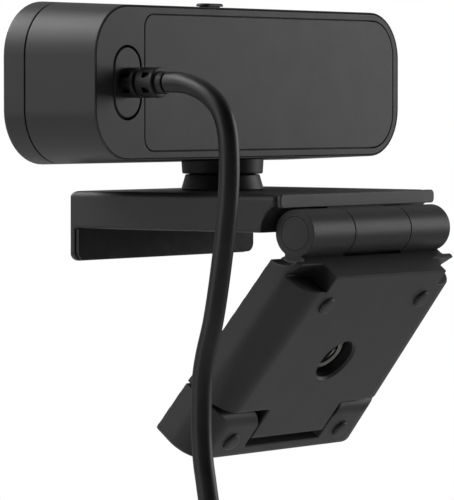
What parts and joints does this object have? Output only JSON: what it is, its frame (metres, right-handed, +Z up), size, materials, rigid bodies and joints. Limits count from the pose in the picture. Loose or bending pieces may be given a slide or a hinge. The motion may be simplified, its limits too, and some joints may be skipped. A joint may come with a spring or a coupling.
{
  "type": "webcam",
  "caption": "Wide webcam on a pan and tilt neck over a folding monitor clip, whose arm has a tripod thread and a fold-out toe, with a USB cord stored in a tied coil.",
  "frame": {"origin": "on the seat pad's underside, where the clip rests on a monitor's top edge, straight below the pan axis", "axes": "+Z up along the pan axis, -Y the way the lens faces, +X towards the cord's side"},
  "size_m": [0.1048, 0.0617, 0.2217],
  "materials": {
    "shell": "charcoal moulded plastic, fine matte grain",
    "panel": "charcoal moulded plastic, a little paler, fine matte grain",
    "black_plastic": "black moulded plastic",
    "rubber": "dark grey soft rubber",
    "steel": "bright plated steel",
    "thread_metal": "nickel plated thread insert",
    "circuit_board": "green solder mask",
    "lens_glass": "dark coated glass",
    "front_glass": "dark tinted clear front",
    "cord": "satin black cord sheath",
    "light_pipe": "milky translucent plastic"
  },
  "bodies": {
    "clip": {"clip_plate": "shell", "clip_rear_cap": "panel", "clip_base": "black_plastic", "seat_pad": "rubber", "lip_pad": "rubber", "hinge_bracket": "shell", "bracket_screw_left": "steel", "bracket_screw_right": "steel", "hinge_pin": "steel"},
    "neck": {"swivel_cone": "shell", "tilt_pin": "steel", "swivel_washer": "steel", "swivel_retainer": "steel", "cord_lead": "cord", "cord_coil": "cord", "cord_tail": "cord", "coil_tie": "black_plastic", "plug_body": "black_plastic", "plug_shell": "steel", "plug_tongue": "black_plastic"},
    "head": {"front_bezel": "shell", "front_glass": "front_glass", "lens_ring": "black_plastic", "lens_barrel": "black_plastic", "lens_glass": "lens_glass", "lens_holder": "black_plastic", "image_sensor": "lens_glass", "sensor_board": "circuit_board", "main_board": "circuit_board", "board_connector": "light_pipe", "mic_left": "steel", "mic_right": "steel", "status_led": "light_pipe", "main_shell": "shell", "rear_cover": "panel", "rear_panel": "panel", "cover_screw_1": "steel", "cover_screw_2": "steel", "cable_plate": "shell", "strain_relief": "rubber", "neck_drum": "shell", "tilt_post": "steel", "neck_screw_left": "steel", "neck_screw_right": "steel"},
    "shutter": {"shutter_knob": "shell", "shutter_blade": "black_plastic"},
    "arm": {"arm_shell": "shell", "arm_inner_cover": "black_plastic", "arm_pad": "rubber", "end_cap_left": "shell", "end_cap_right": "shell", "tripod_insert": "thread_metal", "arm_foot_left": "rubber", "arm_foot_right": "rubber", "toe_pin": "steel"},
    "toe": {"toe_flap": "shell", "toe_foot_left": "rubber", "toe_foot_right": "rubber"}
  },
  "joints": [
    {"name": "pan", "type": "hinge", "parent": "clip", "child": "neck", "pos_m": [0, 0, 0.00768], "axis": [0, 0, 1], "range_deg": [-180, 180]},
    {"name": "tilt", "type": "hinge", "parent": "neck", "child": "head", "pos_m": [0, 0, 0.00768], "axis": [1, 0, 0], "range_deg": [-15, 15], "deforming": ["cord_lead"]},
    {"name": "shutter_slide", "type": "slide", "parent": "head", "child": "shutter", "axis": [-1, 0, 0], "range_m": [0, 0.0095]},
    {"name": "arm_fold", "type": "hinge", "parent": "clip", "child": "arm", "pos_m": [0, 0.0367, -0.00007], "axis": [1, 0, 0], "range_deg": [-51, 90]},
    {"name": "toe_fold", "type": "hinge", "parent": "arm", "child": "toe", "pos_m": [0, 0.01651, -0.03764], "axis": [1, 0, 0], "range_deg": [0, 80]}
  ]
}
